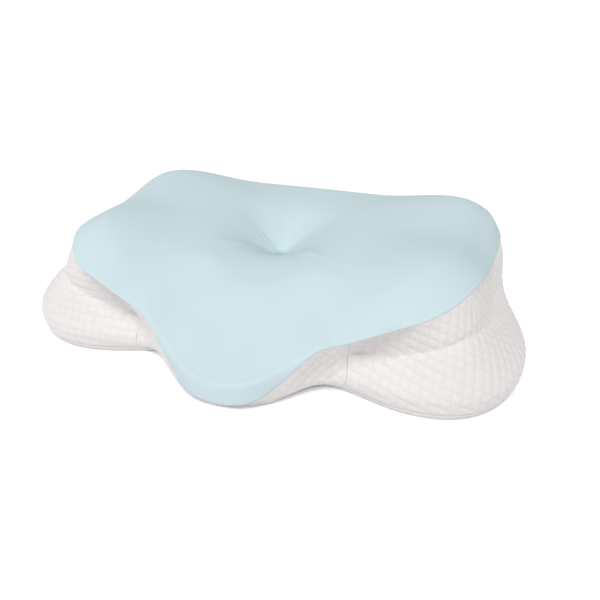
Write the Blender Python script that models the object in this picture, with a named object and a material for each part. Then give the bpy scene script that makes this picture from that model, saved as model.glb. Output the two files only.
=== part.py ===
"""Cervical pillow: a five-lobed filled cushion with a smooth top panel and quilted sides.

Each station below is one section through the pillow, from a point just behind the head hollow's
lowest place out to the edge, and the left side mirrors the right.
+X is the sleeper's right, +Y the head end, and the flat underside lies at Z = 0.
"""
from collections import namedtuple

import bpy
import numpy as np

# Sizes in metres
CLOTH = 0.0028           # thickness of each cover panel
GAP = 0.0004             # clearance between the filling and a panel, and across a seam
HEM_Z = 0.007            # height at which the side panels end above the floor
HEM_SHARE = 0.45         # the same, as a share of the seam's height, where the side is low
CENTRE_Z = 0.107         # height of the top where the sections start, before the hollow is pressed in
HOLLOW_DEPTH = 0.025     # the wide dish for the head
HOLLOW_REACH_X = 0.066
HOLLOW_REACH_Y = 0.056
HOLLOW_AHEAD = 0.009     # the hollow lies this far ahead of the point where the sections start
TUCK_DEPTH = 0.0145      # the narrow pulled-down point in the middle of the dish
TUCK_REACH = 0.021
CREASE_DEPTH = 0.004     # fold between the wing's upper wall and its base lobe
CREASE_SPREAD = 0.07     # how far down the side that fold reaches, as a share of its profile
QUILT_DEPTH = 0.0010     # how far the stitch lines lie below the puffs
QUILT_ROW = 0.006        # rows lower than this have a shallower quilting
START_BEHIND = 0.0345    # the sections start this far behind the middle of the outline

# Places on the outline, in degrees; -90 is the tip of the front lobe and 90 the back centre
FRONT_TIP = -90
NOTCH = -56              # the upright seam between the front lobe and a wing
BACK_CENTRE = 90
CREASE_START, CREASE_FULL, CREASE_END = 30, 36, 84   # degrees round from the front tip

# One section through the pillow: r is the distance from where it starts, z the height.
# The seam joins top and side, the waist is the narrow place of the side, the base its widest.
# The shoulder is a share of the height from the seam to the crown, and the rim, just inside the
# seam, a share of the height from the seam to the shoulder.
Station = namedtuple("Station", ("angle", "seam_r", "seam_z", "waist_r", "waist_z", "base_r", "base_z",
                                 "foot_r", "crown_z", "slope_z", "shoulder", "rim"))
STATIONS = (
    Station(-90, 0.2510, 0.0050, 0.2500, 0.0035, 0.2480, 0.0018, 0.2420, 0.0460, 0.0895, 0.66, 0.81),
    Station(-82, 0.2500, 0.0100, 0.2450, 0.0065, 0.2440, 0.0030, 0.2330, 0.0525, 0.0915, 0.66, 0.86),
    Station(-74, 0.2380, 0.0285, 0.2355, 0.0130, 0.2325, 0.0063, 0.2200, 0.0655, 0.0970, 0.56, 0.75),
    Station(-65, 0.2310, 0.0620, 0.2250, 0.0330, 0.2230, 0.0175, 0.2060, 0.0785, 0.1035, 0.45, 0.58),
    Station(-56, 0.2320, 0.0705, 0.2230, 0.0415, 0.2310, 0.0180, 0.2170, 0.0915, 0.1080, 0.44, 0.42),
    Station(-48, 0.2530, 0.0905, 0.2345, 0.0550, 0.2725, 0.0220, 0.2645, 0.1075, 0.1115, 0.46, 0.35),
    Station(-40, 0.2700, 0.1035, 0.2745, 0.0740, 0.3110, 0.0215, 0.3050, 0.1245, 0.1165, 0.43, 0.34),
    Station(-24, 0.2740, 0.1190, 0.2865, 0.0835, 0.3350, 0.0270, 0.3270, 0.1385, 0.1255, 0.41, 0.33),
    Station(-8, 0.2670, 0.1075, 0.2745, 0.0775, 0.3130, 0.0300, 0.3070, 0.1335, 0.1280, 0.40, 0.33),
    Station(10, 0.2790, 0.1020, 0.2850, 0.0770, 0.2750, 0.0280, 0.2690, 0.1350, 0.1300, 0.46, 0.34),
    Station(26, 0.2885, 0.0955, 0.2655, 0.0730, 0.2500, 0.0320, 0.2370, 0.1365, 0.1290, 0.64, 0.37),
    Station(42, 0.2385, 0.0945, 0.2280, 0.0680, 0.2175, 0.0330, 0.2085, 0.1235, 0.1210, 0.64, 0.37),
    Station(62, 0.1985, 0.0965, 0.1890, 0.0655, 0.1830, 0.0340, 0.1740, 0.1130, 0.1150, 0.64, 0.37),
    Station(90, 0.1820, 0.0955, 0.1590, 0.0635, 0.1560, 0.0340, 0.1450, 0.1110, 0.1115, 0.64, 0.37),
)
TOP_KNOTS = (0, 0.5, 0.82, 0.95, 0.985, 1)     # start, slope, crown, shoulder, rim and seam, by radius
WAIST = 0.33
SIDE_KNOTS = (0, WAIST, 0.72, 1)        # shares of the side's profile: seam, waist, base, foot

# How finely each surface is divided
FRONT_COLUMNS = 16       # from the front tip to the upright seam, on one side
WING_COLUMNS = 72        # from the upright seam to the back centre
ROWS_ABOVE, ROWS_BELOW = 4, 12          # above the waist and below it, on the outside
RINGS_OUT = ((0.03, 11), (0.07, 22), (0.12, 22), (0.18, 44), (0.25, 44), (0.34, 88), (0.44, 88),
             (0.54, 88), (0.63, 88), (0.72, 88), (0.80, 88), (0.87, 88), (0.93, 88), (0.965, 88), (0.987, 88))
RINGS_IN = ((0.03, 11), (0.07, 22), (0.12, 22), (0.18, 44), (0.25, 44), (0.36, 88),
            (0.50, 88), (0.63, 88), (0.74, 88), (0.83, 88), (0.91, 88), (0.96, 88))
TINY = 1e-4              # step for measuring slopes


def round_spline(angles, values, where):
    """A cubic that closes on itself through the rows of values, read at the angles in where."""
    count = len(angles)
    gap = np.diff(np.append(angles, angles[0] + 360))
    rise = (np.roll(values, -1, axis=0) - values) / gap[:, None]
    matrix = np.zeros((count, count))
    for i in range(count):
        before, after = (i - 1) % count, (i + 1) % count
        matrix[i, before] += gap[before]
        matrix[i, i] += 2 * (gap[before] + gap[i])
        matrix[i, after] += gap[i]
    bend = np.linalg.solve(matrix, 6 * (rise - np.roll(rise, 1, axis=0)))
    where = (np.asarray(where, float) - angles[0]) % 360 + angles[0]
    this = np.clip(np.searchsorted(angles, where, side="right") - 1, 0, count - 1)
    following = (this + 1) % count
    width = gap[this][:, None]
    past = (where - angles[this])[:, None]
    left = width - past
    return (bend[this] * left ** 3 / (6 * width) + bend[following] * past ** 3 / (6 * width)
            + (values[this] / width - bend[this] * width / 6) * left
            + (values[following] / width - bend[following] * width / 6) * past)


def smooth_through(knots, values, where):
    """A cubic through values at the knots that doesn't overshoot, one column for each angle."""
    step = np.diff(knots)[:, None]
    rise = np.diff(values, axis=0) / step
    slope = np.zeros_like(values)
    heavy, light = 2 * step[1:] + step[:-1], step[1:] + 2 * step[:-1]
    same_way = rise[:-1] * rise[1:] > 0
    safe = np.where(same_way, rise[:-1], 1), np.where(same_way, rise[1:], 1)
    slope[1:-1] = np.where(same_way, (heavy + light) / (heavy / safe[0] + light / safe[1]), 0)
    for end, first, second in ((0, 0, 1), (-1, -1, -2)):
        near, far = step[first], step[second]
        start = ((2 * near + far) * rise[first] - near * rise[second]) / (near + far)
        start = np.where(start * rise[first] <= 0, 0, start)
        steep = (rise[first] * rise[second] < 0) & (abs(start) > 3 * abs(rise[first]))
        slope[end] = np.where(steep, 3 * rise[first], start)
    where = np.broadcast_to(where, (len(where), values.shape[1]))
    part = np.clip(np.searchsorted(knots, where, side="right") - 1, 0, len(knots) - 2)
    column = np.arange(values.shape[1])[None, :]
    width = step[part, 0]
    u = (where - np.asarray(knots)[part]) / width
    before, after = values[part, column], values[part + 1, column]
    slope_before, slope_after = width * slope[part, column], width * slope[part + 1, column]
    return ((1 + 2 * u) * (1 - u) ** 2 * before + u * (1 - u) ** 2 * slope_before
            + u * u * (3 - 2 * u) * after + u * u * (u - 1) * slope_after)


def all_round():
    """The stations of both sides, in order round the pillow."""
    left = [row._replace(angle=180 - row.angle) for row in STATIONS[-2:0:-1]]
    return np.array(STATIONS + tuple(left), float)


def section(angle):
    """The station's sizes at any angles, each as an array."""
    table = all_round()
    return Station(angle, *round_spline(table[:, 0], table[:, 1:], angle).T)


def place(radius, angle, height):
    turn = np.radians(angle)
    return np.stack([radius * np.cos(turn), radius * np.sin(turn) + START_BEHIND,
                     np.broadcast_to(height, radius.shape)], axis=-1)


def top_surface(angle, reach):
    """The top of the pillow, from where the sections start (reach 0) to the seam (reach 1)."""
    at = section(angle)
    shoulder_z = at.seam_z + at.shoulder * (at.crown_z - at.seam_z)
    rim_z = at.seam_z + at.rim * (shoulder_z - at.seam_z)
    centre_z = np.full_like(at.seam_z, CENTRE_Z)
    heights = np.stack([centre_z, at.slope_z, at.crown_z, shoulder_z, rim_z, at.seam_z])
    height = smooth_through(TOP_KNOTS, heights, reach)
    radius = reach * at.seam_r
    side, ahead = radius * np.cos(np.radians(angle)), radius * np.sin(np.radians(angle))
    spread = (side / HOLLOW_REACH_X) ** 2 + (ahead / HOLLOW_REACH_Y) ** 2
    height = height - HOLLOW_DEPTH * np.exp(-spread) - TUCK_DEPTH * np.exp(-abs(radius) / TUCK_REACH)
    points = place(radius, angle, height)
    points[..., 1] -= HOLLOW_AHEAD * (1 - reach) ** 2
    return points


def side_surface(angle, drop):
    """The side of the pillow, from the seam (drop 0) to the floor (drop 1)."""
    at = section(angle)
    radii = np.stack([at.seam_r, at.waist_r, at.base_r, at.foot_r])
    heights = np.stack([at.seam_z, at.waist_z, at.base_z, np.zeros_like(at.seam_z)])
    turn = abs((angle - FRONT_TIP + 180) % 360 - 180)
    fold = np.interp(turn, [CREASE_START, CREASE_FULL, CREASE_END], [0, 1, 0], left=0, right=0)
    pressed = CREASE_DEPTH * fold * np.exp(-abs(drop - WAIST) / CREASE_SPREAD)
    return place(smooth_through(SIDE_KNOTS, radii, drop) - pressed, angle,
                 smooth_through(SIDE_KNOTS, heights, drop))


def unit(vectors):
    return vectors / np.linalg.norm(vectors, axis=-1, keepdims=True)


def down_profile(surface, angle, where):
    return unit(surface(angle, where + TINY) - surface(angle, where - TINY))


def round_outline(surface, angle, where):
    return unit(surface(angle + TINY, where) - surface(angle - TINY, where))


def outward(surface, angle, where):
    return unit(np.cross(down_profile(surface, angle, where), round_outline(surface, angle, where)))


def column_angles():
    """Angles that divide the side evenly from the front tip to the back, then on round to the tip."""
    fine = np.linspace(FRONT_TIP, BACK_CENTRE, 1801)
    middle = side_surface(fine, np.full((1, 1), 0.5))[0]
    along = np.append(0, np.cumsum(np.linalg.norm(np.diff(middle, axis=0), axis=1)))
    at_notch = np.interp(NOTCH, fine, along)
    front = np.interp(np.linspace(0, at_notch, FRONT_COLUMNS + 1), along, fine)
    wing = np.interp(np.linspace(at_notch, along[-1], WING_COLUMNS + 1), along, fine)
    right = np.append(front[:-1], wing)
    return np.append(right, 180 - right[-2:0:-1])


def drop_rows(angle, above, below):
    """Rows down the side, evenly spaced from the seam to the waist and from there to the hem."""
    drops = np.linspace(0, 1, 121)
    profile = side_surface(angle, drops[:, None])
    hem_z = np.minimum(HEM_Z, HEM_SHARE * profile[0, :, 2])
    along = np.cumsum(np.linalg.norm(np.diff(profile, axis=0, prepend=profile[:1]), axis=2), axis=0)
    rows = np.empty((above + below + 1, len(angle)))
    for i in range(len(angle)):
        hem = np.interp(-hem_z[i], -profile[:, i, 2], drops)
        at_waist, at_hem = np.interp([WAIST, hem], drops, along[:, i])
        upper, lower = np.linspace(0, at_waist, above + 1), np.linspace(at_waist, at_hem, below + 1)
        stops = np.append(upper[:-1], lower)
        rows[:, i] = np.interp(stops, along[:, i], drops)
    return rows


class Skin:
    """Points and triangles of one closed solid, added ring by ring."""

    def __init__(self):
        self.points = []
        self.faces = []

    def ring(self, points, closed=True):
        start = len(self.points)
        self.points.extend(tuple(point) for point in points)
        numbers = list(range(start, len(self.points)))
        return numbers + numbers[:1] if closed and len(numbers) > 1 else numbers

    def lace(self, upper, lower, upper_first=False, quilt_row=None):
        """Triangles between two rings, facing out; the rings may differ in their count."""
        last_up, last_low = len(upper) - 1, len(lower) - 1
        up = low = 0
        while up < last_up or low < last_low:
            lead = (up + 1) * last_low - (low + 1) * last_up
            if quilt_row is not None:
                upper_first = (up + quilt_row) % 2 == 1
            step_up = lead < 0 or (lead == 0 and upper_first)
            if low == last_low or (step_up and up < last_up):
                self.faces.append((upper[up], lower[low], upper[up + 1]))
                up += 1
            else:
                self.faces.append((upper[up], lower[low], lower[low + 1]))
                low += 1

    def lace_all(self, rings, upper_first=False):
        for upper, lower in zip(rings, rings[1:]):
            self.lace(upper, lower, upper_first)

    def make(self, name, material):
        mesh = bpy.data.meshes.new(name)
        mesh.from_pydata(self.points, [], self.faces)
        mesh.materials.append(material)
        mesh.shade_smooth()
        thing = bpy.data.objects.new(name, mesh)
        bpy.context.scene.collection.objects.link(thing)
        return thing


def paint(name, colour, roughness):
    material = bpy.data.materials.new(name)
    material.use_nodes = True
    shader = material.node_tree.nodes["Principled BSDF"]
    shader.inputs["Base Color"].default_value = (*colour, 1)
    shader.inputs["Roughness"].default_value = roughness
    shader.inputs["Metallic"].default_value = 0
    return material


def seam_frame(angle):
    """The seam, the mitred way in from it, and the way down across it."""
    seam = side_surface(angle, np.zeros((1, 1)))[0]
    up = outward(top_surface, angle, np.ones((1, 1)))[0]
    out = outward(side_surface, angle, np.zeros((1, 1)))[0]
    mitre = (up + out) / (1 + np.sum(up * out, axis=-1, keepdims=True))
    down = down_profile(side_surface, angle, np.zeros((1, 1)))[0]
    bisector = unit(mitre)
    down = unit(down - np.sum(down * bisector, axis=-1, keepdims=True) * bisector)
    return seam, mitre, down


def top_rings(angles, rings, depth):
    """The top's rings inside the seam, pressed in by depth, after its centre point."""
    centre = top_surface(angles[:1], np.zeros((1, 1)))[0, 0] - (0, 0, depth)
    found = [[centre]]
    for reach, count in rings:
        angle = angles[::len(angles) // count]
        reach = np.full((1, 1), reach)
        found.append((top_surface(angle, reach) - depth * outward(top_surface, angle, reach))[0])
    return found


def side_inside(angle, rows, depth):
    """The side pressed in by depth; its rows start at the mitre, so they never cross it."""
    normal = outward(side_surface, angle, rows)
    _, mitre, _ = seam_frame(angle)
    slip = np.linspace(1, 0, len(rows))[:, None, None] * (mitre - normal[0])
    return side_surface(angle, rows) - depth * (normal + slip)


def filled_body(angles, material):
    """The filling with its flat base; it steps out to full width below the side panels."""
    angle = angles[::2]
    depth = CLOTH + GAP
    skin = Skin()
    rings = top_rings(angle, RINGS_IN, depth)
    rows = drop_rows(angle, ROWS_ABOVE // 2, ROWS_BELOW // 2)
    inner = side_inside(angle, rows, depth)
    rings.extend(inner[:-1])
    hem = rows[-1:]
    down = GAP * down_profile(side_surface, angle, hem)[0]
    rings.append(inner[-1] + down)
    rings.append(side_surface(angle, hem)[0] + down)
    foot = side_surface(angle, np.ones((1, 1)))[0]
    rings.append(foot)
    rings.append([(0, START_BEHIND, 0)])
    skin.lace_all([skin.ring(points) for points in rings])
    return skin.make("filled_body", material)


def top_panel(angles, material):
    """The smooth panel over the whole top, down to the seam all round."""
    skin = Skin()
    seam, mitre, down = seam_frame(angles)
    rim = seam - GAP / 2 * down
    outer = [skin.ring(points) for points in top_rings(angles, RINGS_OUT, 0) + [rim]]
    under = top_rings(angles[::2], RINGS_IN, CLOTH) + [(rim - CLOTH * mitre)[::2]]
    inner = [skin.ring(points) for points in under]
    skin.lace_all(outer)
    skin.lace(outer[-1], inner[-1])
    skin.lace_all(inner[::-1], upper_first=True)
    return skin.make("top_panel", material)


def quilted_panel(name, angles, first, last, material):
    """A side panel between two columns, with the puffs of its diamond quilting."""
    columns = np.arange(first, last + 1)
    angle = angles[columns % len(angles)]
    rows = drop_rows(angle, ROWS_ABOVE, ROWS_BELOW)
    outer = side_surface(angle, rows)
    normal = outward(side_surface, angle, rows)
    row_height = np.linalg.norm(np.diff(outer, axis=0), axis=2)
    shallow = np.clip(np.minimum(row_height[1:], row_height[:-1]) / QUILT_ROW, 0, 1)
    on_stitch = (np.arange(len(rows))[:, None] + np.arange(len(columns))) % 2 == 0
    sunk = np.zeros(rows.shape)
    sunk[1:-1, 1:-1] = QUILT_DEPTH * (on_stitch[1:-1] * shallow)[:, 1:-1]
    outer = outer - sunk[..., None] * normal
    inner = side_inside(angle, rows, CLOTH)
    _, _, down = seam_frame(angle)
    for grid in (outer, inner):
        grid[0] += GAP / 2 * down
    inward = round_outline(side_surface, angle, rows) * GAP / 2
    for grid in (outer, inner):
        grid[:, 0] += inward[:, 0]
        grid[:, -1] -= inward[:, -1]
    skin = Skin()
    front = [skin.ring(points, closed=False) for points in [*outer[:-1], outer[-1][::2]]]
    back = [skin.ring(points, closed=False) for points in inner[::2, ::2]]
    for row, (upper, lower) in enumerate(zip(front, front[1:])):
        skin.lace(upper, lower, quilt_row=row)
    skin.lace(front[-1], back[-1], upper_first=True)
    skin.lace_all(back[::-1], upper_first=True)
    skin.lace(back[0], front[0], upper_first=True)
    skin.lace([ring[0] for ring in front], [ring[0] for ring in back])
    skin.lace([ring[-1] for ring in back], [ring[-1] for ring in front], upper_first=True)
    return skin.make(name, material)


def build():
    for thing in list(bpy.data.objects):
        bpy.data.objects.remove(thing, do_unlink=True)
    knit = paint("smooth_knit", (0.66, 0.78, 0.82), 0.6)
    quilt = paint("quilted_knit", (0.84, 0.80, 0.79), 0.8)
    base = paint("base_cloth", (0.80, 0.77, 0.76), 0.85)
    angles = column_angles()
    half = FRONT_COLUMNS + WING_COLUMNS
    filled_body(angles, base)
    top_panel(angles, knit)
    quilted_panel("front_panel", angles, -FRONT_COLUMNS, FRONT_COLUMNS, quilt)
    quilted_panel("wing_panel_right", angles, FRONT_COLUMNS, half, quilt)
    quilted_panel("wing_panel_left", angles, half, 2 * half - FRONT_COLUMNS, quilt)


build()
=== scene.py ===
# %% [markdown]
# # Dressing a cervical pillow
#
# This pillow has a hollow for the head, a ridge behind it for the neck, two wings for the arms and a
# low lobe in front. Its solid model is in model.glb. Here we give it cloth: a smooth cover on top and
# quilted sides. We load the solid model first, because every piece has to lie where its solid is.

# %% Load the solid model
from collections import namedtuple

import bpy
import numpy as np
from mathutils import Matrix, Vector


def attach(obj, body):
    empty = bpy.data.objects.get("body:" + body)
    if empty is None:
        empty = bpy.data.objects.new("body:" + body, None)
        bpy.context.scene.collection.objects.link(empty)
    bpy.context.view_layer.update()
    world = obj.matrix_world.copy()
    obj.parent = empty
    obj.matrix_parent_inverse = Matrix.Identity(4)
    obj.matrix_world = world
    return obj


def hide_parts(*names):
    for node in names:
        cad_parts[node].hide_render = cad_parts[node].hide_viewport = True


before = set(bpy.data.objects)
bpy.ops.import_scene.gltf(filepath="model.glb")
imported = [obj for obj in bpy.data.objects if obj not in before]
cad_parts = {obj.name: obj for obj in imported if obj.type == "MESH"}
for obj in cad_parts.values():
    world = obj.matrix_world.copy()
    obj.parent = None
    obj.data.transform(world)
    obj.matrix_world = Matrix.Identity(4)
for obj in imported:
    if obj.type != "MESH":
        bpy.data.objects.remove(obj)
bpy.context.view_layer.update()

# %% [markdown]
# ## The shape as a table
#
# A pillow like this is drawn round its hollow. We cut it like a cake: each station below is one cut,
# from just behind the hollow's lowest place out to the edge, at an angle round the pillow. It says where
# the seam lies, where the side is narrowest, where it is widest, where it stands on the bed and how high
# the top is. The shoulder and the rim say how full the top's edge is, as shares of the height there.
# We could push the points of a mesh about by hand, but a table of real sizes is easier to read and to
# change, and both halves of the pillow can share it. Most of these sizes weren't chosen by hand: a
# program fitted this shape to a photo of the pillow, and its results were rounded to half a millimetre.

# %% The stations, in degrees and metres
Station = namedtuple("Station", ("angle", "seam_r", "seam_z", "waist_r", "waist_z", "base_r", "base_z",
                                 "foot_r", "crown_z", "slope_z", "shoulder", "rim"))
STATIONS = (
    Station(-90, 0.2510, 0.0050, 0.2500, 0.0035, 0.2480, 0.0018, 0.2420, 0.0460, 0.0895, 0.66, 0.81),
    Station(-82, 0.2500, 0.0100, 0.2450, 0.0065, 0.2440, 0.0030, 0.2330, 0.0525, 0.0915, 0.66, 0.86),
    Station(-74, 0.2380, 0.0285, 0.2355, 0.0130, 0.2325, 0.0063, 0.2200, 0.0655, 0.0970, 0.56, 0.75),
    Station(-65, 0.2310, 0.0620, 0.2250, 0.0330, 0.2230, 0.0175, 0.2060, 0.0785, 0.1035, 0.45, 0.58),
    Station(-56, 0.2320, 0.0705, 0.2230, 0.0415, 0.2310, 0.0180, 0.2170, 0.0915, 0.1080, 0.44, 0.42),
    Station(-48, 0.2530, 0.0905, 0.2345, 0.0550, 0.2725, 0.0220, 0.2645, 0.1075, 0.1115, 0.46, 0.35),
    Station(-40, 0.2700, 0.1035, 0.2745, 0.0740, 0.3110, 0.0215, 0.3050, 0.1245, 0.1165, 0.43, 0.34),
    Station(-24, 0.2740, 0.1190, 0.2865, 0.0835, 0.3350, 0.0270, 0.3270, 0.1385, 0.1255, 0.41, 0.33),
    Station(-8, 0.2670, 0.1075, 0.2745, 0.0775, 0.3130, 0.0300, 0.3070, 0.1335, 0.1280, 0.40, 0.33),
    Station(10, 0.2790, 0.1020, 0.2850, 0.0770, 0.2750, 0.0280, 0.2690, 0.1350, 0.1300, 0.46, 0.34),
    Station(26, 0.2885, 0.0955, 0.2655, 0.0730, 0.2500, 0.0320, 0.2370, 0.1365, 0.1290, 0.64, 0.37),
    Station(42, 0.2385, 0.0945, 0.2280, 0.0680, 0.2175, 0.0330, 0.2085, 0.1235, 0.1210, 0.64, 0.37),
    Station(62, 0.1985, 0.0965, 0.1890, 0.0655, 0.1830, 0.0340, 0.1740, 0.1130, 0.1150, 0.64, 0.37),
    Station(90, 0.1820, 0.0955, 0.1590, 0.0635, 0.1560, 0.0340, 0.1450, 0.1110, 0.1115, 0.64, 0.37),
)
FRONT_TIP, BACK_CENTRE = -90, 90
NOTCH, LEFT_NOTCH = -56, 232.5           # the upright seams beside the front lobe
START_BEHIND = 0.0345    # the cuts start this far behind the middle of the outline
print(len(STATIONS), "stations from the front tip to the back")

# %% [markdown]
# ## Curves through the table
#
# Foam has no corners, so the sizes between two stations follow a smooth curve. Round the pillow we use a
# cubic spline that closes on itself. Down each cut we use a cubic that never swings past its values,
# because a swing there would show as a ripple in the cloth.

# %% Two kinds of smooth curve
def round_spline(angles, values, where):
    """A cubic that closes on itself through the rows of values, read at the angles in where."""
    count = len(angles)
    gap = np.diff(np.append(angles, angles[0] + 360))
    rise = (np.roll(values, -1, axis=0) - values) / gap[:, None]
    matrix = np.zeros((count, count))
    for i in range(count):
        before, after = (i - 1) % count, (i + 1) % count
        matrix[i, before] += gap[before]
        matrix[i, i] += 2 * (gap[before] + gap[i])
        matrix[i, after] += gap[i]
    bend = np.linalg.solve(matrix, 6 * (rise - np.roll(rise, 1, axis=0)))
    where = (np.asarray(where, float) - angles[0]) % 360 + angles[0]
    this = np.clip(np.searchsorted(angles, where, side="right") - 1, 0, count - 1)
    following = (this + 1) % count
    width = gap[this][:, None]
    past = (where - angles[this])[:, None]
    left = width - past
    return (bend[this] * left ** 3 / (6 * width) + bend[following] * past ** 3 / (6 * width)
            + (values[this] / width - bend[this] * width / 6) * left
            + (values[following] / width - bend[following] * width / 6) * past)


def smooth_through(knots, values, where):
    """A cubic through values at the knots that doesn't overshoot, one column for each angle."""
    step = np.diff(knots)[:, None]
    rise = np.diff(values, axis=0) / step
    slope = np.zeros_like(values)
    heavy, light = 2 * step[1:] + step[:-1], step[1:] + 2 * step[:-1]
    same_way = rise[:-1] * rise[1:] > 0
    safe = np.where(same_way, rise[:-1], 1), np.where(same_way, rise[1:], 1)
    slope[1:-1] = np.where(same_way, (heavy + light) / (heavy / safe[0] + light / safe[1]), 0)
    for end, first, second in ((0, 0, 1), (-1, -1, -2)):
        near, far = step[first], step[second]
        start = ((2 * near + far) * rise[first] - near * rise[second]) / (near + far)
        start = np.where(start * rise[first] <= 0, 0, start)
        steep = (rise[first] * rise[second] < 0) & (abs(start) > 3 * abs(rise[first]))
        slope[end] = np.where(steep, 3 * rise[first], start)
    where = np.broadcast_to(where, (len(where), values.shape[1]))
    part = np.clip(np.searchsorted(knots, where, side="right") - 1, 0, len(knots) - 2)
    column = np.arange(values.shape[1])[None, :]
    width = step[part, 0]
    u = (where - np.asarray(knots)[part]) / width
    before, after = values[part, column], values[part + 1, column]
    slope_before, slope_after = width * slope[part, column], width * slope[part + 1, column]
    return ((1 + 2 * u) * (1 - u) ** 2 * before + u * (1 - u) ** 2 * slope_before
            + u * u * (3 - 2 * u) * after + u * u * (u - 1) * slope_after)


def section(angle):
    """The station's sizes at any angles, each as an array."""
    left = [row._replace(angle=180 - row.angle) for row in STATIONS[-2:0:-1]]
    rows = np.array(STATIONS + tuple(left), float)
    return Station(angle, *round_spline(rows[:, 0], rows[:, 1:], angle).T)


def turn_from_tip(angle):
    return (angle - FRONT_TIP + 180) % 360 - 180


def place(radius, angle, height):
    turn = np.radians(angle)
    return np.stack([radius * np.cos(turn), radius * np.sin(turn) + START_BEHIND,
                     np.broadcast_to(height, radius.shape)], axis=-1)


half_round = np.arange(-90, 90.0)
seam_line = place(section(half_round).seam_r, half_round, 0)
print("the seam is", round(2 * max(seam_line[:, 0]), 3), "m long across the wings")

# %% [markdown]
# ## The top of the foam
#
# The top falls to the front lobe and rises to the neck ridge. The head hollow is a wide dish with a
# narrow point in its middle, where the cover is pulled down and held. Cloth that is pulled to a point
# gathers, so short shallow folds run out from it. One more dent lies by the right notch, where the
# cover is tight over the inner corner. We add each of these to the height as a small smooth bump.

# %% The hollow, the tuck and the folds
TOP_KNOTS = (0, 0.5, 0.82, 0.95, 0.985, 1)     # start, slope, crown, shoulder, rim and seam, by radius
CENTRE_Z = 0.107
HOLLOW_DEPTH, HOLLOW_REACH_X, HOLLOW_REACH_Y = 0.025, 0.066, 0.056
HOLLOW_ASIDE, HOLLOW_AHEAD = 0.009, 0.009      # how far its middle is moved, to the left and to the front
TUCK_DEPTH, TUCK_REACH, TUCK_ROUND = 0.0145, 0.021, 0.0025
TUCK_WIDER = 0.25                       # share by which the tuck is wider towards the front
PIT_DEPTH, PIT_REACH = 0.010, 0.0045    # the pulled-in point itself
PIT_BACK = 0.006                        # how far it slopes back as it goes down
Fold = namedtuple("Fold", "angle middle_r length width depth")
FOLDS = (
    Fold(155, 0.030, 0.011, 0.0018, 0.0010),
    Fold(172, 0.026, 0.010, 0.0018, 0.0008),
    Fold(47, 0.022, 0.010, 0.0020, 0.0008),
    Fold(20, 0.026, 0.012, 0.0026, 0.0006),
)
Dent = namedtuple("Dent", "angle reach along across depth")
DENT = Dent(-47.5, 0.955, 0.020, 0.008, 0.0045)
DENT_WAY = -10                          # the trough's direction, in degrees from straight across
DENT_FADE = 0.03                        # it fades out over this share of the radius before the seam


def smooth_step(value):
    value = np.clip(value, 0, 1)
    return value * value * (3 - 2 * value)


def folds(side, back):
    """How far the gathers press the top in, at places to the side and back from the start of the cuts."""
    depth = np.zeros_like(side)
    for fold in FOLDS:
        turn = np.radians(fold.angle)
        along = side * np.cos(turn) + back * np.sin(turn) - fold.middle_r
        across = back * np.cos(turn) - side * np.sin(turn)
        depth += fold.depth * np.exp(-(along / fold.length) ** 2 - (across / fold.width) ** 2)
    return depth


def dent(side, back, reach):
    """The dent by the right notch: a short trough beside the seam that ends before it gets there."""
    middle = DENT.reach * section(np.array([DENT.angle])).seam_r[0]
    turn = np.radians(DENT.angle)
    right, behind = side - middle * np.cos(turn), back - middle * np.sin(turn)
    way = np.radians(DENT_WAY)
    along = right * np.cos(way) + behind * np.sin(way)
    across = behind * np.cos(way) - right * np.sin(way)
    trough = np.exp(-(along / DENT.along) ** 2 - (across / DENT.across) ** 2)
    return DENT.depth * trough * smooth_step((1 - reach) / DENT_FADE)


def top_surface(angle, reach):
    """The top of the pillow, from where the cuts start (reach 0) to the seam (reach 1)."""
    at = section(angle)
    shoulder_z = at.seam_z + at.shoulder * (at.crown_z - at.seam_z)
    rim_z = at.seam_z + at.rim * (shoulder_z - at.seam_z)
    centre_z = np.full_like(at.seam_z, CENTRE_Z)
    heights = np.stack([centre_z, at.slope_z, at.crown_z, shoulder_z, rim_z, at.seam_z])
    height = smooth_through(TOP_KNOTS, heights, reach)
    radius = reach * at.seam_r
    side, back = radius * np.cos(np.radians(angle)), radius * np.sin(np.radians(angle))
    spread = (side / HOLLOW_REACH_X) ** 2 + (back / HOLLOW_REACH_Y) ** 2
    wider = 1 + TUCK_WIDER * np.clip(-back / np.maximum(radius, TUCK_ROUND), 0, 1)
    tuck = np.exp(-(np.hypot(radius, TUCK_ROUND) - TUCK_ROUND) / (TUCK_REACH * wider))
    pit = np.exp(-(radius / PIT_REACH) ** 2)
    height = height - HOLLOW_DEPTH * np.exp(-spread) - TUCK_DEPTH * tuck
    height = height - PIT_DEPTH * pit - folds(side, back) - dent(side, back, reach)
    points = place(radius, angle, height)
    inside = (1 - np.minimum(reach, 1)) ** 2
    points[..., 0] -= HOLLOW_ASIDE * inside
    points[..., 1] += PIT_BACK * pit - HOLLOW_AHEAD * inside
    return points


bottom = top_surface(np.zeros(1), np.zeros((1, 1)))[0, 0]
print("the tuck's bottom is", round(1000 * bottom[2]), "mm above the bed")

# %% [markdown]
# ## The sides of the foam
#
# The wall goes in from the seam to a waist and out again to a wide base. On the wings the cloth folds
# where the wall meets the base lobe: a sharp crease starts at the upright seam, dips, and fades towards
# the wing's end. We press the surface in along that line and let the lobe swell out just below it.
# The upright seams aren't quite upright either. We shear the side a little there, so that they lean.

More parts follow.
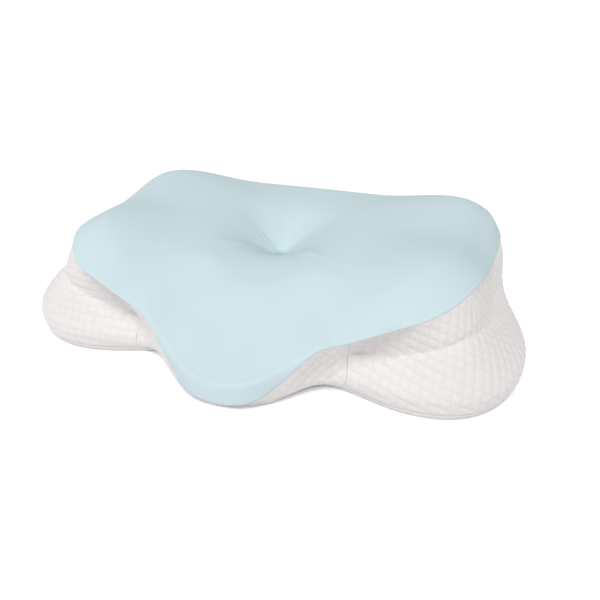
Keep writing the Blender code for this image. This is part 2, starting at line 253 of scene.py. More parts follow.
# %% The side surface
SIDE_KNOTS = (0, 0.33, 0.72, 1)         # shares of the side's profile: seam, waist, base, foot
Crease = namedtuple("Crease", "turn drop strength")
CREASE = (                              # turn: degrees round from the front tip
    Crease(34.5, 0.22, 0), Crease(38, 0.32, 1), Crease(41, 0.38, 1), Crease(45, 0.405, 1),
    Crease(50, 0.385, 1), Crease(56, 0.367, 1), Crease(62, 0.377, 0.8), Crease(68, 0.41, 0.5),
    Crease(74, 0.45, 0.2), Crease(84, 0.50, 0),
)
CREASE_DEPTH, CREASE_SPREAD = 0.004, 0.045
LOBE_SWELL, LOBE_ROUND = 0.006, 0.15
LEAN_DROPS = (0, 0.12, 0.3, 0.7, 1)     # places down an upright seam
LEAN = (0, 0.8, 0.8, -0.2, -0.6)        # how far the right seam is moved there, in degrees
LEFT_LEAN = (0, 0, -1.5, -3, -3)        # and the left seam
LEAN_REACH = 6                          # how far round the lean is felt, in degrees


def along_curve(knots, values, where):
    """A curve through single values at the knots, read anywhere; it stays level beyond the ends."""
    where = np.clip(where, knots[0], knots[-1])
    column = np.array(values, float)[:, None]
    return smooth_through(knots, column, where.reshape(-1, 1)).reshape(where.shape)


def side_surface(angle, drop):
    """The side of the pillow, from the seam (drop 0) to the floor (drop 1)."""
    drop = np.broadcast_to(drop, (len(drop), len(angle)))
    turn = turn_from_tip(angle)
    upright = np.where(turn < 0, turn_from_tip(LEFT_NOTCH), turn_from_tip(NOTCH))
    near_seam = np.sign(turn) * np.exp(-((turn - upright) / LEAN_REACH) ** 2)
    left, right = along_curve(LEAN_DROPS, LEFT_LEAN, drop), along_curve(LEAN_DROPS, LEAN, drop)
    lean = np.where(turn < 0, left, right)
    angle = angle + near_seam * lean
    turn = abs(turn_from_tip(angle))
    at = section(angle.ravel())
    radii = np.stack([at.seam_r, at.waist_r, at.base_r, at.foot_r])
    heights = np.stack([at.seam_z, at.waist_z, at.base_z, np.zeros_like(at.seam_z)])
    turns, drops, strengths = zip(*CREASE)
    crease = along_curve(turns, drops, turn)
    fold = along_curve(turns, strengths, turn)
    share = np.clip((drop - crease) / (SIDE_KNOTS[2] - crease), 0, 1)
    swell = LOBE_SWELL * (1 - np.exp(-share / LOBE_ROUND)) * (1 - share) ** 2
    outline = smooth_through(SIDE_KNOTS, radii, drop.reshape(1, -1)).reshape(drop.shape)
    height = smooth_through(SIDE_KNOTS, heights, drop.reshape(1, -1)).reshape(drop.shape)
    pressed = CREASE_DEPTH * np.exp(-abs(drop - crease) / CREASE_SPREAD)
    return place(outline + fold * (swell - pressed), angle, height)


foot_line = side_surface(np.arange(-90, 270.0), np.ones((1, 1)))[0]
print("the foot measures", np.round(np.ptp(foot_line[:, :2], axis=0), 3).tolist(), "m")

# %% [markdown]
# ## Which way is out
#
# Cloth lies on the foam, so we need the direction that points straight out of it. We take two short
# steps on the surface, one down the cut and one round the pillow, and their cross product points out.
# At the seam the top and the side face different ways. The mitre lies half way between them, as in a
# picture frame, and both pieces of cloth turn in along it.

# %% Directions on the surface
TINY = 1e-4


def unit(vectors):
    return vectors / np.linalg.norm(vectors, axis=-1, keepdims=True)


def down_profile(surface, angle, where):
    return unit(surface(angle, where + TINY) - surface(angle, where - TINY))


def round_outline(surface, angle, where):
    return unit(surface(angle + TINY, where) - surface(angle - TINY, where))


def outward(surface, angle, where):
    return unit(np.cross(down_profile(surface, angle, where), round_outline(surface, angle, where)))


def seam_frame(angle):
    """The mitred way in from the seam, and the way down across it."""
    up = outward(top_surface, angle, np.ones((1, 1)))[0]
    out = outward(side_surface, angle, np.zeros((1, 1)))[0]
    mitre = (up + out) / (1 + np.sum(up * out, axis=-1, keepdims=True))
    down = down_profile(side_surface, angle, np.zeros((1, 1)))[0]
    bisector = unit(mitre)
    return mitre, unit(down - np.sum(down * bisector, axis=-1, keepdims=True) * bisector)


tip_faces = outward(top_surface, np.array([FRONT_TIP]), np.ones((1, 1)))[0, 0]
print("at the front tip the cover's edge faces", tip_faces.round(2).tolist())

# %% [markdown]
# ## Rings of points become a mesh
#
# All our pieces are tubes or strips of points, so one helper can build them. It keeps the points, and
# laces two neighbouring rings with faces, as you lace a shoe. Where two rings have the same number of
# points it makes four-sided faces. Where they differ, it fills in with triangles, so that a ring near
# the middle of the pillow can have fewer points than one at the edge.

# %% The lacing helper
class Skin:
    """Points and faces of one closed piece, added ring by ring."""

    def __init__(self):
        self.points = []
        self.faces = []

    def ring(self, points, closed=True):
        start = len(self.points)
        self.points.extend(np.asarray(points).tolist())
        numbers = list(range(start, len(self.points)))
        return numbers + numbers[:1] if closed and len(numbers) > 1 else numbers

    def lace(self, upper, lower):
        """Faces between two rings, facing out; the rings may differ in their count."""
        if len(upper) == len(lower):
            self.faces.extend(zip(upper, lower, lower[1:], upper[1:]))
            return
        last_up, last_low = len(upper) - 1, len(lower) - 1
        up = low = 0
        while up < last_up or low < last_low:
            if low == last_low or (up < last_up and (up + 1) * last_low < (low + 1) * last_up):
                self.faces.append((upper[up], lower[low], upper[up + 1]))
                up += 1
            else:
                self.faces.append((upper[up], lower[low], lower[low + 1]))
                low += 1

    def lace_all(self, rings):
        for upper, lower in zip(rings, rings[1:]):
            self.lace(upper, lower)

    def make(self, name):
        mesh = bpy.data.meshes.new(name)
        mesh.from_pydata(self.points, [], self.faces)
        mesh.shade_smooth()
        thing = bpy.data.objects.new(name, mesh)
        bpy.context.scene.collection.objects.link(thing)
        print(name, "has", len(mesh.vertices), "points and", len(mesh.polygons), "faces")
        return thing


# %% [markdown]
# ## Where the points go
#
# Cloth bends most in the last millimetres beside a seam, where it rolls in to the stitches. We put the
# points close together there and evenly everywhere else. On the quilted sides they are a little more
# than a millimetre apart, so that each puff of the quilting gets about eight of them each way.

# %% Columns round the pillow and rows down its side
EDGE_STOPS = np.array([0, 0.0003, 0.0007, 0.0012, 0.0018, 0.0025, 0.0034])
SHORT_STRIP = 0.02       # on a strip shorter than this the stops move closer together
HEM_Z, HEM_SHARE = 0.007, 0.45


def stops_between(length, count):
    """Distances along a strip of cloth, close together by both seams and even in between."""
    near = EDGE_STOPS * min(1, length / SHORT_STRIP)
    middle = np.linspace(near[-1], length - near[-1], count - 2 * len(near) + 2)
    return np.concatenate([near[:-1], middle, length - near[-2::-1]])


def columns_between(first, last, count):
    """Angles for the columns of a side panel, and how far along the panel each one is."""
    fine = np.linspace(first, last, 1201)
    middle = side_surface(fine, np.full((1, 1), 0.5))[0]
    along = np.append(0, np.cumsum(np.linalg.norm(np.diff(middle, axis=0), axis=1)))
    stops = stops_between(along[-1], count)
    return np.interp(stops, along, fine), stops


def rows_down(angle, count):
    """Drops for the rows of a side panel, and how far below the seam each one is."""
    drops = np.linspace(0, 1, 241)
    profile = side_surface(angle, drops[:, None])
    hem_z = np.minimum(HEM_Z, HEM_SHARE * profile[0, :, 2])
    along = np.cumsum(np.linalg.norm(np.diff(profile, axis=0, prepend=profile[:1]), axis=2), axis=0)
    rows, below = np.empty((count, len(angle))), np.empty((count, len(angle)))
    for i in range(len(angle)):
        hem = np.interp(-hem_z[i], -profile[:, i, 2], drops)
        below[:, i] = stops_between(np.interp(hem, drops, along[:, i]), count)
        rows[:, i] = np.interp(below[:, i], along[:, i], drops)
    return rows, below


def rolled(distance, radius):
    """How far cloth sinks as it turns in to a seam, at a distance from it."""
    left = np.clip(1 - distance / radius, 0, 1)
    return radius * (1 - np.sqrt(1 - left ** 2))


_, wing_rows = rows_down(np.array([-24.0]), 15)
print("the right wing's side is", round(1000 * wing_rows[-1, 0]), "mm from the seam to the hem")

# %% [markdown]
# ## The filling
#
# Under the cloth is one block of moulded foam, closed below by a plain base cloth. We could leave the
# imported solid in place, but its facets would show at the foot, so we make a finer one of the same form.
# It lies a little deeper than the panels, and comes out to full width in a soft roll below their hem.

# %% Make the filling
CLOTH = 0.0025           # thickness of the cover
UNDER_CLOTH = 0.0036     # how deep the filling lies below the outside
FULL_ROUND = np.linspace(-90, 270, 353)[:-1]
THINNED = ((0.04, 8), (0.1, 4), (0.3, 2))      # inside this reach a ring keeps one point in so many
ROLL_BELOW_HEM = ((0.02, 0.0012), (0.08, 0.0006), (0.2, 0.0002), (0.4, 0), (0.7, 0), (0.92, 0))
UNDERSIDE = (0.97, 0.85, 0.6, 0.3)      # rings of the flat underside, as shares of the foot


def top_rings(angles, reaches, depth):
    """Rings of the top inside the seam, pressed in by depth, after the centre point."""
    centre = top_surface(angles[:1], np.zeros((1, 1)))[0, 0] - (0, 0, depth)
    rings = [[centre]]
    for reach in reaches:
        every = next((step for inside, step in THINNED if reach < inside), 1)
        angle, at = angles[::every], np.full((1, 1), reach)
        rings.append((top_surface(angle, at) - depth * outward(top_surface, angle, at))[0])
    return rings


def side_inside(angle, rows, depth):
    """The side pressed in by depth; its rows start at the mitre, so they never cross it."""
    normal = outward(side_surface, angle, rows)
    mitre, _ = seam_frame(angle)
    slip = np.linspace(1, 0, len(rows))[:, None, None] * (mitre - normal[0])
    return side_surface(angle, rows) - depth * (normal + slip)


def make_filling():
    rows, _ = rows_down(FULL_ROUND, 49)
    skin = Skin()
    rings = top_rings(FULL_ROUND, np.linspace(0.02, 0.975, 60), UNDER_CLOTH)
    rings.extend(side_inside(FULL_ROUND, rows, UNDER_CLOTH))
    hem = rows[-1:]
    for share, depth in ROLL_BELOW_HEM:
        drop = hem + share * (1 - hem)
        rings.append((side_surface(FULL_ROUND, drop) - depth * outward(side_surface, FULL_ROUND, drop))[0])
    foot = side_surface(FULL_ROUND, np.ones((1, 1)))[0]
    rings.append(foot)
    middle = np.array([0, START_BEHIND, 0])
    rings.extend(middle + share * (foot - middle) for share in UNDERSIDE)
    rings.append([middle])
    skin.lace_all([skin.ring(points) for points in rings])
    return skin.make("foam_filling")


filling = make_filling()

# %% [markdown]
# ## The smooth top cover
#
# The cover is one piece of stretch knit. It is pulled tight over the whole top, into the hollow, and
# rolls in where it meets the sides. We build its outside and its inside and lace them together at the
# rim, so that it has a real thickness. The inside never shows, so it gets fewer points.

# %% Make the top cover
SEAM_GAP, END_GAP = 0.0003, 0.0002      # between the cloths at the top seam and at the upright seams
TOP_ROLL = 0.0011        # radius of the blue cloth's edge where it turns in
TOP_ROUND = np.linspace(-90, 270, 529)[:-1]
CUT_LENGTH = 0.25        # a cut's length, to turn the stops beside the seam into reaches
TOP_REACHES = np.concatenate([np.arange(0.005, 0.2, 0.005), np.arange(0.2, 0.95, 0.0125),
                              np.arange(0.95, 0.983, 0.004), 1 - EDGE_STOPS[:0:-1] / CUT_LENGTH])


def make_top_cover():
    skin = Skin()
    outer = top_rings(TOP_ROUND, TOP_REACHES, 0)
    mitre, down = seam_frame(TOP_ROUND)
    _, below = rows_down(TOP_ROUND, 15)
    short = np.minimum(1, below[-1] / SHORT_STRIP)[:, None]
    edge = len(EDGE_STOPS) - 1
    for ring, stop in zip(range(-edge, 0), EDGE_STOPS[:0:-1]):
        outer[ring] = outer[ring] - short * rolled(stop, TOP_ROLL) * mitre
    rim = side_surface(TOP_ROUND, np.zeros((1, 1)))[0] - SEAM_GAP / 2 * down - short * TOP_ROLL * mitre
    inner = top_rings(TOP_ROUND[::2], np.linspace(0.02, 0.97, 56), CLOTH)
    inner.append((rim - (CLOTH - short * TOP_ROLL) * mitre)[::2])
    outside = [skin.ring(points) for points in outer + [rim]]
    inside = [skin.ring(points) for points in inner]
    skin.lace_all(outside)
    skin.lace(outside[-1], inside[-1])
    skin.lace_all(inside[::-1])
    return skin.make("top_cover")


top_cover = make_top_cover()

# %% [markdown]
# ## Laying a side panel out flat
#
# The side panels are quilted before they are cut, so the stitch lines are straight only while the cloth
# lies flat. On the pillow they bend with it. To know where they run, we do what a pattern cutter does:
# we lay the panel out flat. Blender's unwrap does just this for a mesh. We scale the result to the
# real area, and turn it so that the stitch lines lean as they do on the pillow.

# %% Flatten a panel with Blender's unwrap
FLAT_COLUMNS, FLAT_ROWS = 97, 21


def flatten(name, points):
    """Lays a grid of points out flat at full size. Gives each point two distances, in metres."""
    rows, columns = points.shape[:2]
    number = np.arange(rows * columns).reshape(rows, columns)
    quads = np.stack([number[:-1, :-1], number[1:, :-1], number[1:, 1:], number[:-1, 1:]], -1)
    mesh = bpy.data.meshes.new(name)
    mesh.from_pydata(points.reshape(-1, 3).tolist(), [], quads.reshape(-1, 4).tolist())
    thing = bpy.data.objects.new(name, mesh)
    bpy.context.scene.collection.objects.link(thing)
    bpy.context.view_layer.objects.active = thing
    bpy.ops.object.mode_set(mode="EDIT")
    bpy.ops.mesh.select_all(action="SELECT")
    bpy.ops.uv.unwrap(method="ANGLE_BASED", margin=0)
    bpy.ops.object.mode_set(mode="OBJECT")
    corners = np.empty(len(mesh.loops), int)
    mesh.loops.foreach_get("vertex_index", corners)
    read = np.empty(2 * len(mesh.loops))
    mesh.uv_layers.active.data.foreach_get("uv", read)
    flat = np.empty((rows * columns, 2))
    flat[corners] = read.reshape(-1, 2)
    flat = flat.reshape(rows, columns, 2)
    area = sum(face.area for face in mesh.polygons)
    flat *= np.sqrt(area / grid_area(flat))
    bpy.data.objects.remove(thing)
    bpy.data.meshes.remove(mesh)
    return flat, area


def grid_area(flat):
    """Area of a flat grid of points, from the cross product of each face's diagonals."""
    one, other = flat[1:, 1:] - flat[:-1, :-1], flat[:-1, 1:] - flat[1:, :-1]
    return abs(np.sum(one[..., 0] * other[..., 1] - one[..., 1] * other[..., 0])) / 2


def turned(flat, turn):
    return flat @ np.array([[np.cos(turn), -np.sin(turn)], [np.sin(turn), np.cos(turn)]])


def cut_size(flat):
    """Width and length of the smallest rectangle of cloth that the flat panel can be cut from."""
    best = None
    for turn in np.radians(np.arange(0, 180, 2)):
        size = np.ptp(turned(flat.reshape(-1, 2), turn), axis=0)
        if best is None or size.prod() < best.prod():
            best = size
    return sorted(float(value) for value in best)


# %% [markdown]
# ## Quilting
#
# The side cloth is a knit with wadding behind it, stitched in small squares. Between the stitch lines
# it puffs up. The height of a puff is a dome that is flat in the middle and drops to the stitches at
# its edge. Quilting can't puff beside a seam, so it fades out there, and a plain roll of cloth remains.

# %% The height of the quilting
QUILT_PITCH = 0.0105
QUILT_DEPTH = 0.0009
SIDE_ROLL = 0.0010       # radius of the white cloth's edge where it turns in at the top
END_ROLL = 0.0006        # and at the two upright seams, which are pulled tighter
LIP_HEIGHT, LIP_FROM_SEAM, LIP_WIDTH = 0.0005, 0.0017, 0.0011
DOME_POWER = 2.5         # a higher power makes the puffs flatter on top and steeper at the stitches
PLAIN_EDGE, QUILT_FADE = 0.0015, 0.003  # no quilting this near a seam, and full quilting that much further


def dome(position):
    """1 in the middle of a puff and 0 on the stitch lines, at a position across the lines."""
    across = abs(2 * (position / QUILT_PITCH % 1) - 1)
    return 1 - across ** DOME_POWER


def quilt_height(cloth, from_seam, size):
    """Height of the quilted face: 0 on top of a puff, and down to -QUILT_DEPTH on the stitches."""
    puff = dome(cloth[..., 0]) * dome(cloth[..., 1])
    fade = smooth_step((from_seam - PLAIN_EDGE) / QUILT_FADE)
    return -QUILT_DEPTH * size * (1 - puff * fade)


print("a puff is", round(1000 * QUILT_PITCH, 1), "mm wide and", round(1000 * QUILT_DEPTH, 1), "mm high")

# %% [markdown]
# ## The side panels
#
# Three panels make the side: one under the front lobe, and one round each wing from its upright seam
# to the back. Each one rolls in at its seams. We make them with one function and give it the angles at
# which the panel starts and ends, how far one set of stitch lines falls to the right and how far the
# other set leans from upright. The two sets aren't square to each other, because the knit was pulled
# askew when it was sewn.

# %% Make the side panels
Panel = namedtuple("Panel", "name first last columns rows fall lean at")    # at: where the slants are true
PANELS = (
    Panel("front_side", LEFT_NOTCH - 360, NOTCH, 257, 65, 45, 45, -66),
    Panel("right_wing_side", NOTCH, BACK_CENTRE, 577, 113, 22, 5, -40),
    Panel("left_wing_side", BACK_CENTRE, LEFT_NOTCH, 577, 113, 2, 2, 220),
)
LEVEL_AT = 0.7           # how far down the side the stitch lines are set level, as a share
INSIDE_STEP = 4          # the panel's inside has one point for this many outside, each way


def cloth_places(panel, angle, along, below):
    """How far each point of a panel lies across the one set of stitch lines and across the other."""
    steps = np.linspace(0, 1, FLAT_COLUMNS)
    flat_angle = np.interp(steps, along / along[-1], angle)
    rows, depth = rows_down(flat_angle, 241)
    shares = np.linspace(0, 1, FLAT_ROWS)
    columns = zip((depth / depth[-1]).T, rows.T)
    drops = np.stack([np.interp(shares, *column) for column in columns], 1)
    points = side_surface(flat_angle, drops)
    flat, area = flatten(panel.name + "_flat", points)
    column, row = np.argmin(abs(flat_angle - panel.at)), int(LEVEL_AT * FLAT_ROWS)
    here, right, down = (row, column), (row, column + 1), (row + 1, column)
    share = -(points[right] - points[here])[2] / (points[down] - points[here])[2]
    level = (flat[right] - flat[here]) + share * (flat[down] - flat[here])
    fall, lean = np.radians(panel.fall), np.radians(panel.lean)
    size = cut_size(flat)
    straight = turned(flat, np.arctan2(level[1], level[0]))
    flat = straight @ np.array([[np.cos(lean), np.sin(fall)], [-np.sin(lean), np.cos(fall)]])
    at_column = np.broadcast_to(along / along[-1] * (FLAT_COLUMNS - 1), below.shape)
    at_row = below / below[-1] * (FLAT_ROWS - 1)
    i = np.minimum(at_row.astype(int), FLAT_ROWS - 2)
    j = np.minimum(at_column.astype(int), FLAT_COLUMNS - 2)
    u, v = (at_row - i)[..., None], (at_column - j)[..., None]
    cloth = ((1 - u) * (1 - v) * flat[i, j] + u * (1 - v) * flat[i + 1, j]
             + (1 - u) * v * flat[i, j + 1] + u * v * flat[i + 1, j + 1])
    return cloth, size, float(area)


def make_side(panel):
    angle, along = columns_between(panel.first, panel.last, panel.columns)
    rows, below = rows_down(angle, panel.rows)
    cloth, size, area = cloth_places(panel, angle, along, below)
    from_ends = np.broadcast_to(np.minimum(along, along[-1] - along), rows.shape)
    from_hem = below[-1] - below
    short = np.minimum(1, below[-1] / SHORT_STRIP)
    normal = outward(side_surface, angle, rows)
    mitre, down = seam_frame(angle)
    height = quilt_height(cloth, np.minimum(np.minimum(below, from_hem), from_ends), short)
    lip = short * LIP_HEIGHT * np.exp(-((below - LIP_FROM_SEAM) / LIP_WIDTH) ** 2)
    roll = np.maximum(rolled(from_hem, SIDE_ROLL), rolled(from_ends, END_ROLL))
    outer = side_surface(angle, rows) + (height + lip - roll)[..., None] * normal
    outer -= (rolled(below, SIDE_ROLL) * short)[..., None] * mitre
    inner = side_inside(angle, rows, CLOTH)
    sideways = round_outline(side_surface, angle, rows) * END_GAP / 2
    for grid in (outer, inner):
        grid[0] += SEAM_GAP / 2 * down
        grid[:, 0] += sideways[:, 0]
        grid[:, -1] -= sideways[:, -1]
    skin = Skin()
    front = [skin.ring(points, closed=False) for points in outer]
    back = [skin.ring(points, closed=False) for points in inner[::INSIDE_STEP, ::INSIDE_STEP]]
    skin.lace_all(front)
    skin.lace(front[-1], back[-1])
    skin.lace_all(back[::-1])
    skin.lace(back[0], front[0])
    skin.lace([ring[0] for ring in front], [ring[0] for ring in back])
    skin.lace([ring[-1] for ring in back], [ring[-1] for ring in front])
    piece = skin.make(panel.name)
    places = np.zeros((len(skin.points), 3))
    places[:cloth[..., 0].size, :2] = cloth.reshape(-1, 2)
    places[:cloth[..., 0].size, 2] = np.minimum(np.minimum(below, from_hem), from_ends).ravel()
    stored = piece.data.attributes.new("cloth", "FLOAT_VECTOR", "POINT")
    stored.data.foreach_set("vector", places.ravel())
    print(panel.name, "is cut from", [round(value, 3) for value in size], "m, area", round(area, 4))
    return piece, size, area


sides = {panel.name: make_side(panel) for panel in PANELS}

# %% [markdown]
# ## Helpers for the cloths
#
# A cloth is more than its colour: it has a stitch, a little sheen and a faint clouding. Blender makes
# these with shader nodes, small boxes that pass numbers on to each other. We could place each box by
# hand in the shader editor. Helpers that add a box, link it and return its output keep a material short
# enough to read, and all three cloths can use them.

# %% Helpers for the shader nodes
CLOTH_SPECULAR = 0.1     # knitted cloth shows hardly any gloss
CLOUD_DETAIL = 2.0


def new_material(name, colour, roughness, sheen=0, sheen_roughness=0.5):
    """A material with a Principled shader. Even values go straight on the shader's sockets."""
    material = bpy.data.materials.new(name)
    material.use_nodes = True
    shader = material.node_tree.nodes["Principled BSDF"]
    shader.inputs["Base Color"].default_value = (*colour, 1)
    shader.inputs["Roughness"].default_value = roughness
    shader.inputs["Sheen Weight"].default_value = sheen
    shader.inputs["Sheen Roughness"].default_value = sheen_roughness
    shader.inputs["Specular IOR Level"].default_value = CLOTH_SPECULAR
    return material, shader


def add_node(material, kind, inputs=(), **settings):
    """Adds a node, sets its properties, and sets or links its inputs in order."""
    node = material.node_tree.nodes.new(kind)
    for name, value in settings.items():
        setattr(node, name, value)
    for socket, value in zip(node.inputs, inputs):
        if isinstance(value, bpy.types.NodeSocket):
            material.node_tree.links.new(value, socket)
        elif value is not None:
            socket.default_value = value
    return node


def calculate(material, operation, *inputs):
    return add_node(material, "ShaderNodeMath", inputs, operation=operation).outputs[0]


def blend_colours(material, share, first, second):
    """A colour between two others; share 0 gives the first."""
    node = add_node(material, "ShaderNodeMix", data_type="RGBA")
    for socket, value in ((0, share), (6, first), (7, second)):
        if isinstance(value, bpy.types.NodeSocket):
            material.node_tree.links.new(value, node.inputs[socket])
        else:
            node.inputs[socket].default_value = value
    return node.outputs[2]


def wave(material, distance, length):
    return calculate(material, "SINE", calculate(material, "MULTIPLY", distance, 2 * np.pi / length))


def clouding(material, place, scale):
    """A faint, soft unevenness between 0 and 1; a higher scale makes smaller clouds."""
    return add_node(material, "ShaderNodeTexNoise", (place, None, scale, CLOUD_DETAIL)).outputs["Fac"]


def add_relief(material, shader, height, strength, depth):
    """Bends the light as if the cloth had this relief, up to the depth in metres."""
    bump = add_node(material, "ShaderNodeBump")
    bump.inputs["Strength"].default_value = strength
    bump.inputs["Distance"].default_value = depth
    material.node_tree.links.new(height, bump.inputs["Height"])
    material.node_tree.links.new(bump.outputs[0], shader.inputs["Normal"])


print("helpers ready for", bpy.app.version_string)

# %% [markdown]
# ## The smooth blue knit
#
# The top is a fine cooling knit, cool to look at and quite matt, with a stitch so small that you see it
# only close up. A picture of such a cloth could be wrapped over the top, but it would stretch in the
# hollow. We draw the knit as rows of tiny loops with two waves, and let them bend the light.

# %% Smooth blue knit
BLUE = (0.54, 0.65, 0.68)
BLUE_DEEP = (0.52, 0.635, 0.67)
KNIT_LOOP = 0.0009       # width of one knitted loop
LOOP_LENGTH = 1.4        # its length, as a share of its width


def make_smooth_knit():
    material, shader = new_material("smooth_blue_knit", BLUE, roughness=0.9)
    link = material.node_tree.links.new
    place = add_node(material, "ShaderNodeTexCoord").outputs["Object"]
    cloudy = clouding(material, place, 14.0)
    link(blend_colours(material, cloudy, (*BLUE, 1), (*BLUE_DEEP, 1)), shader.inputs["Base Color"])
    split = add_node(material, "ShaderNodeSeparateXYZ", (place,))
    across = wave(material, split.outputs[0], KNIT_LOOP)
    along = wave(material, split.outputs[1], LOOP_LENGTH * KNIT_LOOP)
    add_relief(material, shader, calculate(material, "MULTIPLY", across, along), strength=0.12, depth=0.0002)
    return material


smooth_knit = make_smooth_knit()
print(smooth_knit.name, "has", len(smooth_knit.node_tree.nodes), "nodes")

# %% [markdown]
# ## The quilted white knit
#
# The quilted cloth is off-white, with a soft sheen at grazing angles. Its stitch lines are rows of short
# threads that lie a little deeper than the puffs, and their darker colour is painted shade. We stored for
# each point where it lies on the flat cloth, so the shader can draw the threads along the same lines that
# the puffs follow.

# %% Quilted white knit
WHITE = (0.705, 0.68, 0.675)
# the colour of the painted shade in the stitch channels, also the darker tone of the random clouding
CHANNEL_SHADE_AND_CLOUDING = (0.58, 0.555, 0.55)
STITCH_LENGTH = 0.0030
THREAD_FROM, THREAD_TO = 0.0002, 0.0011        # the thread fades out between these, across the line
HOLE_FROM, HOLE_TO, HOLE_SHARE = 0.0002, 0.0007, 0.35   # and where the needle went through, along it
RIB = 0.0011
# LINE_SHADE is painted shade in the stitch channels; CLOUD_SHADE is the cloth's own uneven tone
LINE_SHADE, CLOUD_SHADE = 0.2, 0.08     # how much of the channel's colour the lines and the clouding take
PLAIN_STRIP = 0.003      # no stitches are drawn this near a seam
RIB_RELIEF = 0.3         # the ribs' relief, as a share of the stitch lines'


def make_quilted_knit():
    material, shader = new_material("quilted_white_knit", WHITE, roughness=0.95, sheen=0.25)
    link = material.node_tree.links.new
    cloth = add_node(material, "ShaderNodeAttribute", attribute_name="cloth").outputs["Vector"]
    split = add_node(material, "ShaderNodeSeparateXYZ", (cloth,))
    off_seam = calculate(material, "GREATER_THAN", split.outputs[2], PLAIN_STRIP)
    lines = None
    for one, other in ((0, 1), (1, 0)):
        line = calculate(material, "PINGPONG", split.outputs[one], QUILT_PITCH / 2)
        near = add_node(material, "ShaderNodeMapRange", (line, THREAD_FROM, THREAD_TO, 1.0, 0.0)).outputs[0]
        step = calculate(material, "PINGPONG", split.outputs[other], STITCH_LENGTH / 2)
        holes = (step, HOLE_FROM, HOLE_TO, HOLE_SHARE, 1.0)
        thread = add_node(material, "ShaderNodeMapRange", holes).outputs[0]
        drawn = calculate(material, "MULTIPLY", near, thread)
        lines = drawn if lines is None else calculate(material, "MAXIMUM", lines, drawn)
    lines = calculate(material, "MULTIPLY", lines, off_seam)
    cloudy = clouding(material, cloth, 60.0)
    # the stitch lines are darkened with painted shade, as if the channels between the puffs were shaded
    painted_line_shade = calculate(material, "MULTIPLY", lines, LINE_SHADE)
    share = calculate(material, "ADD", painted_line_shade, calculate(material, "MULTIPLY", cloudy, CLOUD_SHADE))
    link(blend_colours(material, share, (*WHITE, 1), (*CHANNEL_SHADE_AND_CLOUDING, 1)), shader.inputs["Base Color"])
    ribs = calculate(material, "MULTIPLY", *[wave(material, split.outputs[axis], RIB) for axis in (0, 1)])
    relief = calculate(material, "SUBTRACT", calculate(material, "MULTIPLY", ribs, RIB_RELIEF), lines)
    add_relief(material, shader, relief, strength=0.25, depth=0.0003)
    return material


quilted_knit = make_quilted_knit()
print(quilted_knit.name, "has", len(quilted_knit.node_tree.nodes), "nodes")

# %% [markdown]
# ## The base cloth
#
# The base cloth is a plain, slightly coarser white knit. It shows only in the narrow strip at the foot
# and on the underside. It could share the quilted cloth without its lines, but a material of its own is
# shorter, and a simple weave is enough.

# %% Base cloth
BASE = (0.70, 0.675, 0.67)
BASE_WEAVE = 0.0013
BASE_SHADE = 0.95        # how dark the clouding gets, as a share of the colour


def make_base_cloth():
    material, shader = new_material("base_cloth", BASE, roughness=0.95)
    link = material.node_tree.links.new
    place = add_node(material, "ShaderNodeTexCoord").outputs["Object"]
    split = add_node(material, "ShaderNodeSeparateXYZ", (place,))
    waves = [wave(material, split.outputs[axis], BASE_WEAVE) for axis in (0, 1)]
    weave = calculate(material, "MULTIPLY", *waves)
    cloudy = clouding(material, place, 40.0)
    shaded = [BASE_SHADE * value for value in BASE]
    link(blend_colours(material, cloudy, (*BASE, 1), (*shaded, 1)), shader.inputs["Base Color"])
    add_relief(material, shader, weave, strength=0.3, depth=0.0003)
    return material


base_cloth = make_base_cloth()
print(base_cloth.name, "has", len(base_cloth.node_tree.nodes), "nodes")

# %% [markdown]
# ## Dress the solids
#
# Each piece stands for one solid of the imported model and moves with its body. We also work out the
# size and area of cloth that the top cover is cut from.

# %% Put the pieces in place of the solids
def dress(piece, node, material):
    piece.data.materials.append(material)
    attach(piece, "root")
    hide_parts(node)


def top_cut():
    """Size and area of the top cover's cloth when it is laid out flat."""
    reaches = np.linspace(0.01, 1, 40)[:, None]
    grid = top_surface(np.linspace(-90, 270, 181), reaches)
    around = grid[-1, :, :2]
    size = np.ptp(around, axis=0)
    sides_of = grid[1:, 1:] - grid[:-1, :-1], grid[:-1, 1:] - grid[1:, :-1]
    area = np.linalg.norm(np.cross(*sides_of), axis=-1).sum() / 2
    return sorted(float(value) for value in size * np.sqrt(area / grid_area(grid[..., :2]))), float(area)


dress(filling, "filled_body", base_cloth)
dress(top_cover, "top_panel", smooth_knit)
top_size, top_area = top_cut()
for name, node in (("front_side", "front_panel"), ("right_wing_side", "wing_panel_right"),
                   ("left_wing_side", "wing_panel_left")):
    piece, size, area = sides[name]
    dress(piece, node, quilted_knit)
print("top cover is cut from", [round(value, 3) for value in top_size], "m, area", round(top_area, 4))

# %% [markdown]
# ## The studio
#
# The pillow lies on a plain white floor under soft light. One broad lamp shines from high in front,
# about square to the front of the top, and a weak one shines from low on the left. Places that turn away
# from the front lamp darken, which is what lets you read such a smooth form. The white world and a faint
# glow of the floor fill in the shade. A ring of small lamps could do the same, but two are easier to judge.

# %% Floor, light and view
FLOOR_REACH = 30.0       # so far that its edge doesn't show
FLOOR_GAP = 0.0003       # the floor lies this far below the pillow
FLOOR_WHITE = (0.93, 0.93, 0.93)
FLOOR_GLOW = 0.10
WORLD_STRENGTH = 0.20
LAMP_AWAY = 2


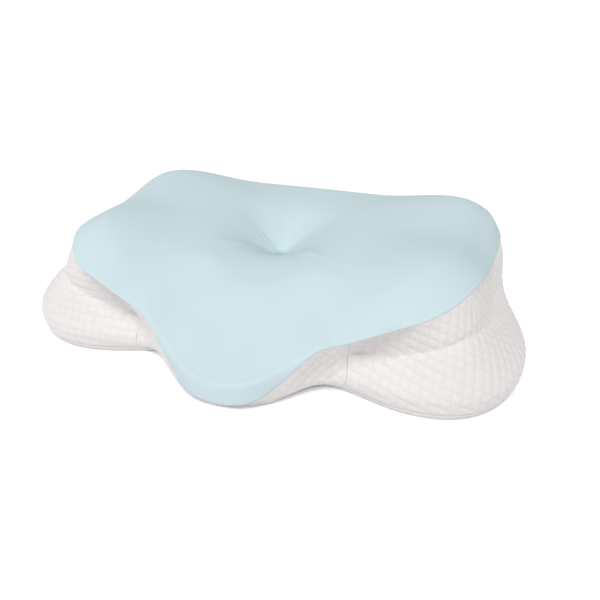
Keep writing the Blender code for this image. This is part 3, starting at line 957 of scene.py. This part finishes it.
def make_floor():
    mesh = bpy.data.meshes.new("floor")
    corners = [(FLOOR_REACH * x, FLOOR_REACH * y, 0) for x, y in ((-1, -1), (1, -1), (1, 1), (-1, 1))]
    mesh.from_pydata(corners, [], [(0, 1, 2, 3)])
    floor = bpy.data.objects.new("floor", mesh)
    floor.location.z = -FLOOR_GAP
    bpy.context.scene.collection.objects.link(floor)
    material, shader = new_material("white_floor", FLOOR_WHITE, roughness=0.9)
    shader.inputs["Emission Color"].default_value = (1, 1, 1, 1)
    shader.inputs["Emission Strength"].default_value = FLOOR_GLOW
    mesh.materials.append(material)


def point_at(thing, target):
    thing.rotation_mode = "QUATERNION"
    thing.rotation_quaternion = (Vector(target) - thing.location).to_track_quat("-Z", "Y")


def direction(azimuth, elevation):
    """The way from the pillow to a lamp or the camera; azimuth 0 is straight in front."""
    turn, lift = np.radians(azimuth), np.radians(elevation)
    return Vector((np.sin(turn) * np.cos(lift), -np.cos(turn) * np.cos(lift), np.sin(lift)))


def make_lamp(name, azimuth, elevation, spread, strength):
    """A sun lamp, placed by its direction from the pillow; a wide spread makes its shadows soft."""
    lamp = bpy.data.objects.new(name, bpy.data.lights.new(name, "SUN"))
    lamp.data.angle = np.radians(spread)
    lamp.data.energy = strength
    lamp.location = LAMP_AWAY * direction(azimuth, elevation)
    bpy.context.scene.collection.objects.link(lamp)
    point_at(lamp, (0, 0, 0))
    print(name, "shines from", azimuth, "degrees round and", elevation, "degrees up")


make_floor()
make_lamp("front_lamp", azimuth=10, elevation=63, spread=40, strength=2.9)
make_lamp("left_lamp", azimuth=-80, elevation=20, spread=60, strength=0.5)
world = bpy.data.worlds.new("white_world")
world.use_nodes = True
world.node_tree.nodes["Background"].inputs["Color"].default_value = (1, 1, 1, 1)
world.node_tree.nodes["Background"].inputs["Strength"].default_value = WORLD_STRENGTH
bpy.context.scene.world = world
bpy.context.scene.view_settings.view_transform = "Standard"

# %% [markdown]
# ## The camera
#
# The camera stands a little to the right of the pillow's front and looks down at about 30 degrees. It
# is close, so the near lobes look larger than the far ones. We give it as an angle, a distance and the
# point it looks at, because those are easier to judge than three coordinates. These numbers too were
# fitted to the photo by a program, together with the pillow's shape.

# %% Set the camera
CAMERA_AZIMUTH, CAMERA_ELEVATION = 17.467, 30.591
CAMERA_DISTANCE = 0.6691
LOOK_AT = Vector((0.0437, -0.0532, 0.05))
FOCAL_PIXELS, PHOTO_PIXELS = 532.9, 600
SENSOR_WIDTH = 36        # millimetres

camera = bpy.data.objects.new("camera", bpy.data.cameras.new("camera"))
camera.data.sensor_width = SENSOR_WIDTH
camera.data.lens = SENSOR_WIDTH * FOCAL_PIXELS / PHOTO_PIXELS
camera.data.clip_start = 0.01
camera.location = LOOK_AT + CAMERA_DISTANCE * direction(CAMERA_AZIMUTH, CAMERA_ELEVATION)
bpy.context.scene.collection.objects.link(camera)
point_at(camera, LOOK_AT)
bpy.context.scene.camera = camera
print("lens", round(camera.data.lens, 1), "mm")
